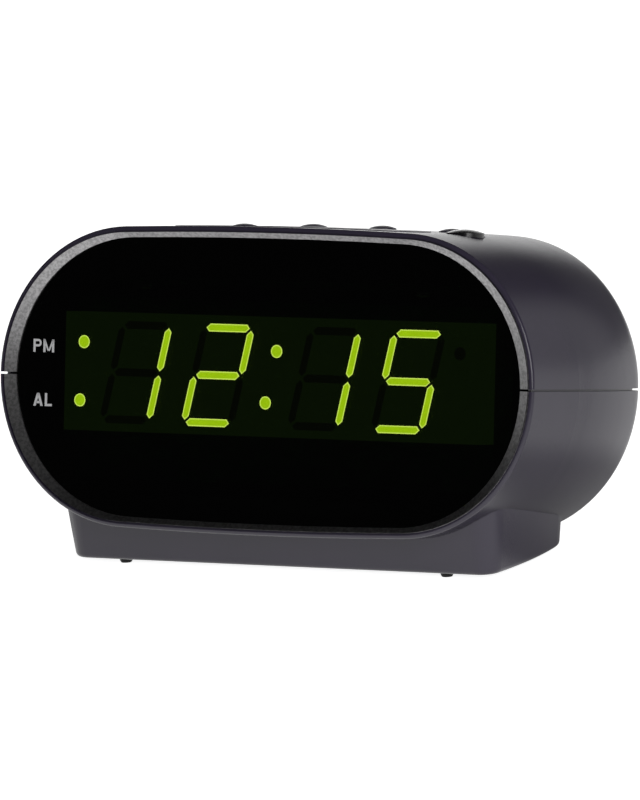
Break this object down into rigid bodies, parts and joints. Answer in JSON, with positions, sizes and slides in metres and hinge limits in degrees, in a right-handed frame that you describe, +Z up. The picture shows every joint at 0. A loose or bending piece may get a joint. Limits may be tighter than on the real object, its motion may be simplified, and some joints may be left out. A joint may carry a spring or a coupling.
{
  "type": "digital alarm clock",
  "caption": "Small mains LED digital alarm clock: leaning oval case in two halves, dark lens, press keys on top, plinth with battery bay below.",
  "frame": {"origin": "middle of the clock's plan box, on the table", "axes": "+Z up, +X to the right for someone reading the display, display towards -Y"},
  "size_m": [0.138, 0.0708, 0.0762],
  "materials": {
    "case_plastic": "fine satin moulded plastic, charcoal",
    "key_plastic": "fine satin moulded plastic, charcoal",
    "key_black": "smooth black moulded plastic",
    "lens_black": "polished, nearly black tinted acrylic",
    "module_plastic": "dark moulded plastic",
    "segment_lit": "lit diffusing resin, lime",
    "segment_unlit": "unlit diffusing resin",
    "board_green": "solder-masked laminate",
    "chip_black": "moulded package",
    "capacitor_sleeve": "shrink sleeve on aluminium can",
    "buzzer_black": "moulded",
    "switch_black": "moulded",
    "ribbon_grey": "flat cable insulation",
    "core_steel": "varnished laminations",
    "coil_tape": "polyester tape over copper",
    "screw_steel": "zinc plated",
    "rubber_black": "moulded rubber",
    "contact_nickel": "nickel-plated spring steel",
    "cell_sleeve": "printed sleeve left plain"
  },
  "bodies": {
    "clock": {"upper_case": "case_plastic", "lower_case": "case_plastic", "display_lens": "lens_black", "display_housing": "module_plastic", "lit_segments": "segment_lit", "unlit_segments": "segment_unlit", "main_board": "board_green", "button_board": "board_green", "clock_chip": "chip_black", "capacitors": "capacitor_sleeve", "buzzer": "buzzer_black", "key_switches": "switch_black", "ribbon_cable": "ribbon_grey", "transformer_core": "core_steel", "transformer_coil": "coil_tape", "case_screws": "screw_steel", "board_screws": "screw_steel", "transformer_screws": "screw_steel", "cord_gland": "rubber_black", "battery_springs": "contact_nickel", "battery_plates": "contact_nickel", "front_cell": "cell_sleeve", "rear_cell": "cell_sleeve", "foot_front_left": "rubber_black", "foot_front_right": "rubber_black", "foot_rear_left": "rubber_black", "foot_rear_right": "rubber_black"},
    "snooze_bar": {"snooze_bar": "key_plastic"},
    "alarm_button": {"alarm_button": "key_black"},
    "time_button": {"time_button": "key_plastic"},
    "alarm_set_button": {"alarm_set_button": "key_plastic"},
    "hour_button": {"hour_button": "key_plastic"},
    "minute_button": {"minute_button": "key_plastic"},
    "battery_door": {"battery_door": "case_plastic"}
  },
  "joints": [
    {"name": "snooze_bar_press", "type": "slide", "parent": "clock", "child": "snooze_bar", "axis": [0, -0.1599, -0.9871], "range_m": [0, 0.0008], "stiffness_N_per_m": 400, "springref_m": -0.001},
    {"name": "alarm_button_press", "type": "slide", "parent": "clock", "child": "alarm_button", "axis": [0, -0.1599, -0.9871], "range_m": [0, 0.0008], "stiffness_N_per_m": 400, "springref_m": -0.001},
    {"name": "time_button_press", "type": "slide", "parent": "clock", "child": "time_button", "axis": [0, -0.1599, -0.9871], "range_m": [0, 0.0008], "stiffness_N_per_m": 400, "springref_m": -0.001},
    {"name": "alarm_set_button_press", "type": "slide", "parent": "clock", "child": "alarm_set_button", "axis": [0, -0.1599, -0.9871], "range_m": [0, 0.0008], "stiffness_N_per_m": 400, "springref_m": -0.001},
    {"name": "hour_button_press", "type": "slide", "parent": "clock", "child": "hour_button", "axis": [0, -0.1599, -0.9871], "range_m": [0, 0.0008], "stiffness_N_per_m": 400, "springref_m": -0.001},
    {"name": "minute_button_press", "type": "slide", "parent": "clock", "child": "minute_button", "axis": [0, -0.1599, -0.9871], "range_m": [0, 0.0008], "stiffness_N_per_m": 400, "springref_m": -0.001},
    {"name": "battery_door_swing", "type": "hinge", "parent": "clock", "child": "battery_door", "pos_m": [0, -0.01998, 0.0004], "axis": [-1, 0, 0], "range_deg": [0, 75]}
  ]
}
